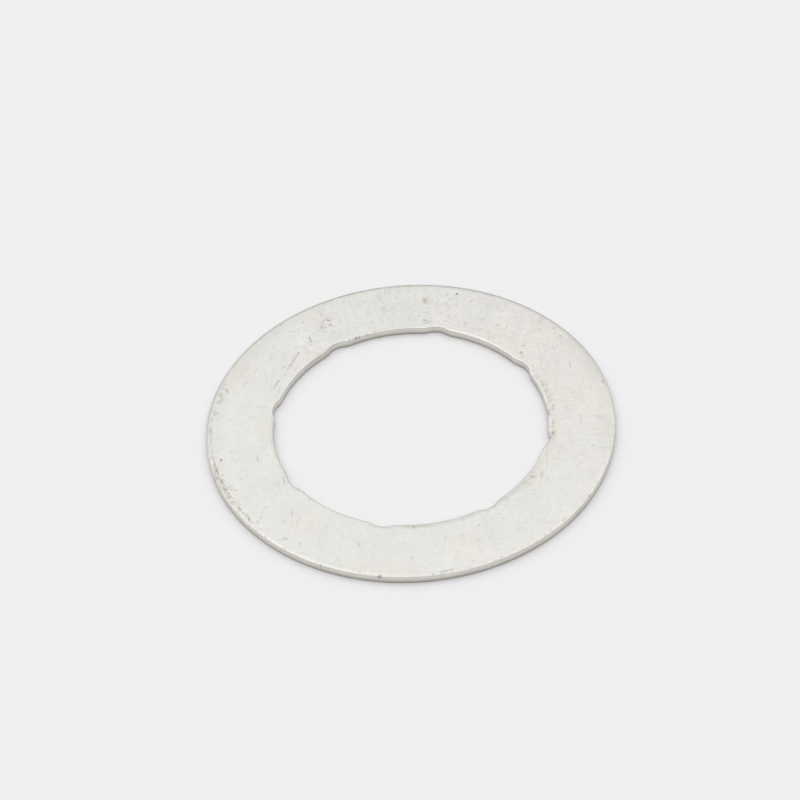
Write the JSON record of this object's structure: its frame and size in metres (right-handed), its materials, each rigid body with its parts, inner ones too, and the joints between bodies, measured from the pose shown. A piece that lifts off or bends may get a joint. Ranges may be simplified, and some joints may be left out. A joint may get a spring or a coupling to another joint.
{
  "type": "connecting rod washer",
  "caption": "Thin flat silver-plated thrust ring with shallow oil notches around its bore, set beside a connecting rod's big end on the crankpin.",
  "frame": {"origin": "on the ring's axis, in the plane of the lower face that it lies on", "axes": "+Z along the ring's axis, out of the upper face; +X through the middle of one bore notch"},
  "size_m": [0.033, 0.033, 0.0007],
  "materials": {
    "silver_plate": "satin"
  },
  "bodies": {
    "root": {"washer": "silver_plate"}
  },
  "joints": []
}
